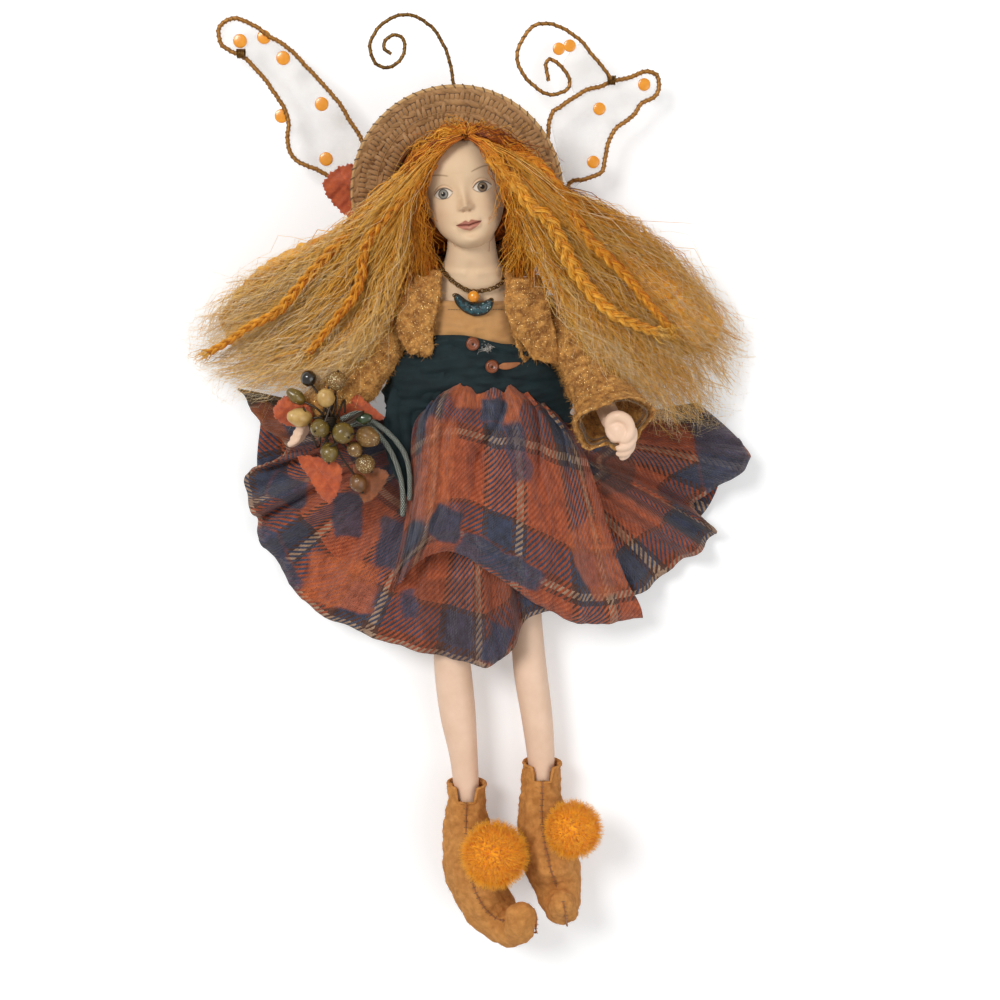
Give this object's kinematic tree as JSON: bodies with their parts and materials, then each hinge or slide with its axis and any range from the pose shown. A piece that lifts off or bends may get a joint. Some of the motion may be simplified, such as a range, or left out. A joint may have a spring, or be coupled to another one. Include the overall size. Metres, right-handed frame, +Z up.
{
  "type": "fairy doll",
  "caption": "Fairy doll lying on its back, with jointed cloth body, resin head, hands and shins, wire wings, straw hat, checked skirt and curled felt boots.",
  "frame": {"origin": "on the floor under the middle of the doll's bounding box, with the doll lying on its back", "axes": "+Y from the boots to the head, +Z up from the floor out of the doll's front, +X to the doll's own left side"},
  "size_m": [0.179, 0.2964, 0.0559],
  "materials": {
    "resin_flesh": "satin",
    "mohair": "matte",
    "copper_mohair": "matte",
    "plaited_straw": "matte",
    "bronze_wire": "satin",
    "wrapped_wire": "satin",
    "organza": "satin",
    "velvet": "matte",
    "gold_knit": "matte",
    "tan_cotton": "matte",
    "boot_felt": "matte",
    "stuffed_cotton": "matte",
    "check_twill": "matte",
    "orange_fur": "matte",
    "brown_button": "gloss",
    "loop_leather": "matte",
    "amber_bead": "gloss",
    "teal_glaze": "gloss",
    "berry_gloss": "satin",
    "red_leaf_cloth": "matte",
    "dark_cord": "matte"
  },
  "bodies": {
    "torso": {"shoulder_head": "resin_flesh", "hair_cap": "copper_mohair", "hair_fringe": "copper_mohair", "hair_right": "mohair", "hair_left": "mohair", "braid_right_outer": "mohair", "braid_right_inner": "mohair", "braid_left_inner": "mohair", "braid_left_outer": "mohair", "straw_hat": "plaited_straw", "hat_leaf": "red_leaf_cloth", "antenna": "wrapped_wire", "torso_body": "stuffed_cotton", "bandeau": "tan_cotton", "waist_wrap": "velvet", "wrap_tail": "velvet", "button_upper": "brown_button", "button_lower": "brown_button", "button_loop": "loop_leather", "jacket_back": "gold_knit", "jacket_front_right": "gold_knit", "jacket_front_left": "gold_knit", "jacket_knot": "gold_knit", "necklace_chain": "bronze_wire", "necklace_bead": "amber_bead"},
    "hips": {"lower_body": "stuffed_cotton", "skirt_front": "check_twill", "skirt_drape": "check_twill", "skirt_back": "check_twill"},
    "leg_right": {"upper_leg_right": "stuffed_cotton"},
    "leg_left": {"upper_leg_left": "stuffed_cotton"},
    "shin_right": {"lower_leg_right": "resin_flesh", "boot_right": "boot_felt", "pompom_right": "orange_fur"},
    "shin_left": {"lower_leg_left": "resin_flesh", "boot_left": "boot_felt", "pompom_left": "orange_fur"},
    "arm_right": {"sleeve_right": "gold_knit", "upper_arm_right": "stuffed_cotton"},
    "arm_left": {"sleeve_left": "gold_knit", "upper_arm_left": "stuffed_cotton"},
    "hand_right": {"forearm_right": "resin_flesh", "berry_bunch": "berry_gloss", "leaf_upper": "red_leaf_cloth", "leaf_lower": "red_leaf_cloth", "leaf_side": "red_leaf_cloth", "leaf_back": "red_leaf_cloth", "cord_long": "dark_cord", "cord_short": "dark_cord"},
    "hand_left": {"forearm_left": "resin_flesh"},
    "wing_right": {"wing_frame_right": "wrapped_wire", "wing_membrane_right": "organza"},
    "wing_left": {"wing_frame_left": "wrapped_wire", "wing_membrane_left": "organza", "wing_curl_left": "wrapped_wire", "wing_lobe_left": "organza"},
    "pendant": {"pendant": "teal_glaze"}
  },
  "joints": [
    {"name": "hip_bend", "type": "hinge", "parent": "torso", "child": "hips", "pos_m": [0.0038, 0.00954, 0.014], "axis": [-1, 0, 0], "range_deg": [0, 85], "deforming": ["skirt_front", "skirt_drape", "skirt_back", "wrap_tail"]},
    {"name": "hip_spread_right", "type": "hinge", "parent": "hips", "child": "leg_right", "pos_m": [-0.0052, -0.00146, 0.013], "axis": [0, 0, -1], "range_deg": [0, 12]},
    {"name": "hip_spread_left", "type": "hinge", "parent": "hips", "child": "leg_left", "pos_m": [0.0128, -0.00146, 0.013], "axis": [0, 0, 1], "range_deg": [0, 12]},
    {"name": "knee_right", "type": "hinge", "parent": "leg_right", "child": "shin_right", "pos_m": [-0.0073, -0.03646, 0.012], "axis": [1, 0, 0], "range_deg": [0, 90], "deforming": ["pompom_right"]},
    {"name": "knee_left", "type": "hinge", "parent": "leg_left", "child": "shin_left", "pos_m": [0.0176, -0.03646, 0.012], "axis": [1, 0, 0], "range_deg": [0, 90]},
    {"name": "shoulder_right", "type": "hinge", "parent": "torso", "child": "arm_right", "pos_m": [-0.0226, 0.05953, 0.027], "axis": [-1, 0, 0], "range_deg": [0, 80], "deforming": ["sleeve_right", "hair_right", "braid_right_outer", "braid_right_inner"]},
    {"name": "shoulder_left", "type": "hinge", "parent": "torso", "child": "arm_left", "pos_m": [0.025, 0.05953, 0.027], "axis": [-1, 0, 0], "range_deg": [0, 80], "deforming": ["sleeve_left", "hair_left", "braid_left_inner", "braid_left_outer"]},
    {"name": "elbow_right", "type": "hinge", "parent": "arm_right", "child": "hand_right", "pos_m": [-0.035, 0.03904, 0.0272], "axis": [-0.75, 0.6614, 0], "range_deg": [0, 45]},
    {"name": "elbow_left", "type": "hinge", "parent": "arm_left", "child": "hand_left", "pos_m": [0.0373, 0.03904, 0.0363], "axis": [-0.8805, -0.4741, 0], "range_deg": [0, 45]},
    {"name": "wing_fold_right", "type": "hinge", "parent": "torso", "child": "wing_right", "pos_m": [-0.0022, 0.05353, 0.0125], "axis": [0, -1, 0], "range_deg": [0, 60]},
    {"name": "wing_fold_left", "type": "hinge", "parent": "torso", "child": "wing_left", "pos_m": [0.0078, 0.05353, 0.0125], "axis": [0, 1, 0], "range_deg": [0, 60]},
    {"name": "pendant_swing", "type": "hinge", "parent": "torso", "child": "pendant", "pos_m": [0.0014, 0.06474, 0.0397], "axis": [0, 0, 1], "range_deg": [-12, 12]}
  ]
}
